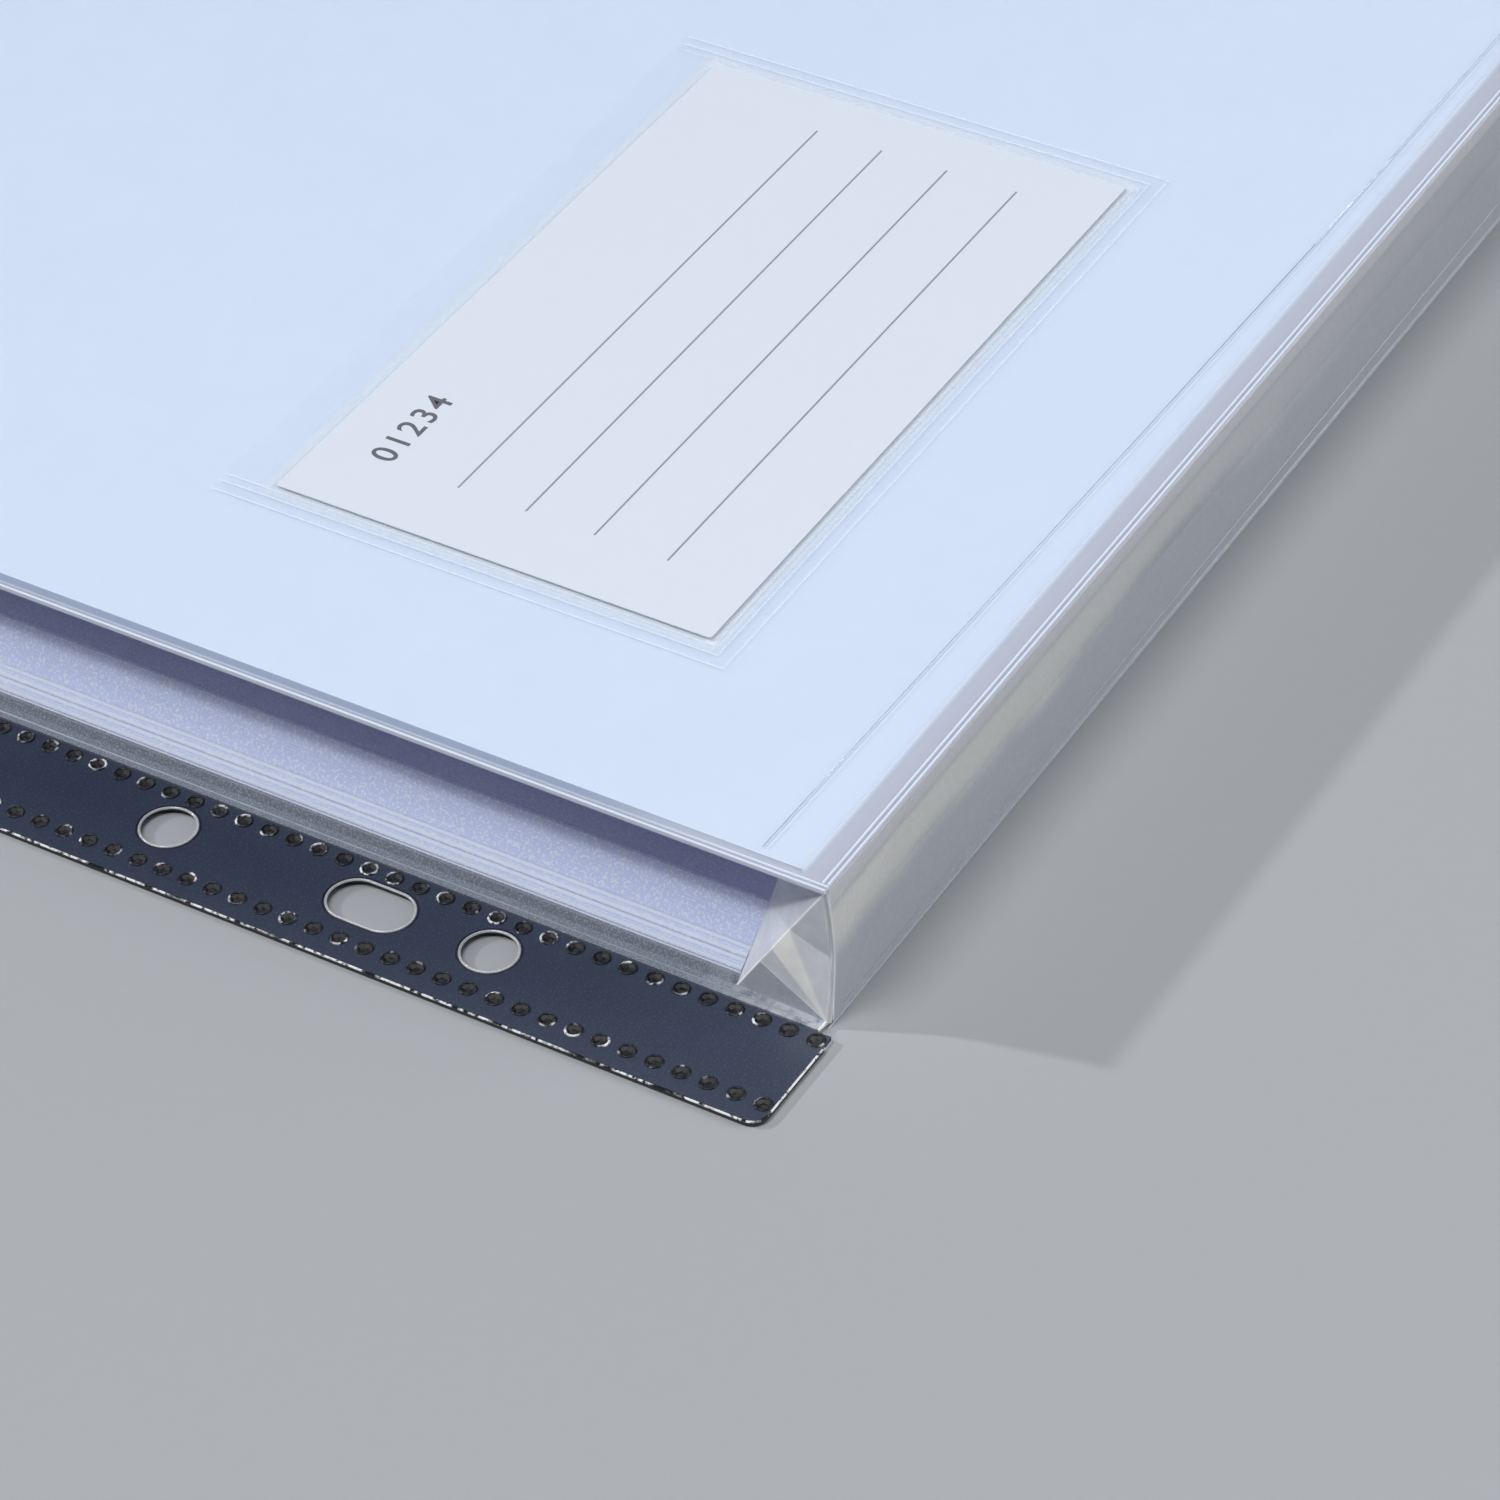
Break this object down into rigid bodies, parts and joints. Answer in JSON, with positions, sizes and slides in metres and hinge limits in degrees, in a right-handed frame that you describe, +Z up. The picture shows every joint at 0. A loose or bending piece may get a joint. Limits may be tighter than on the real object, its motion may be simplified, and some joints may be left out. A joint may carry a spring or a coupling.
{
  "type": "snap button folder",
  "caption": "Clear expanding document folder with a punched navy binding strip, a label pocket and a flap that snaps shut, filled with pale blue paper.",
  "frame": {"origin": "middle of the footprint, on the surface that the back panel lies on", "axes": "+X away from the punched binding strip, +Y up the folder towards its mouth and flap, +Z up out of the front panel"},
  "size_m": [0.235, 0.3102, 0.0206],
  "materials": {
    "clear_film": "clear polypropylene film, glossy with a fine grain",
    "frosted_film": "frosted polypropylene film",
    "navy_film": "satin navy film",
    "white_card": "smooth card with ruled lines",
    "blue_paper": "matt pale blue paper",
    "snap_plastic": "moulded navy plastic"
  },
  "bodies": {
    "pocket": {"back_panel": "clear_film", "front_panel": "clear_film", "spine_gusset": "clear_film", "far_gusset": "clear_film", "binding_backing": "clear_film", "label_pocket": "clear_film", "bottom_gusset": "frosted_film", "binding_strip": "navy_film", "thin_sheet_1": "blue_paper", "thin_sheet_2": "blue_paper", "thin_sheet_3": "blue_paper", "thin_sheet_4": "blue_paper", "thin_sheet_5": "blue_paper", "thin_sheet_6": "blue_paper", "lower_ream_1": "blue_paper", "lower_ream_2": "blue_paper", "upper_ream_1": "blue_paper", "upper_ream_2": "blue_paper", "upper_ream_3": "blue_paper", "cover_sheet": "blue_paper", "snap_stud": "snap_plastic", "snap_rivet": "snap_plastic"},
    "bridge": {"flap_bridge": "clear_film"},
    "lid": {"flap_lid": "clear_film", "snap_cap": "snap_plastic", "snap_socket": "snap_plastic"},
    "card": {"label_card": "white_card"}
  },
  "joints": [
    {"name": "flap_bridge_fold", "type": "hinge", "parent": "pocket", "child": "bridge", "pos_m": [0.0065, 0.15493, 0.00015], "axis": [-1, 0, 0], "range_deg": [0, 90]},
    {"name": "flap_lid_fold", "type": "hinge", "parent": "bridge", "child": "lid", "pos_m": [0.0065, 0.15493, 0.0156], "axis": [-1, 0, 0], "range_deg": [0, 85]},
    {"name": "label_card_slide", "type": "slide", "parent": "pocket", "child": "card", "axis": [0, 1, 0], "range_m": [0, 0.05]}
  ]
}
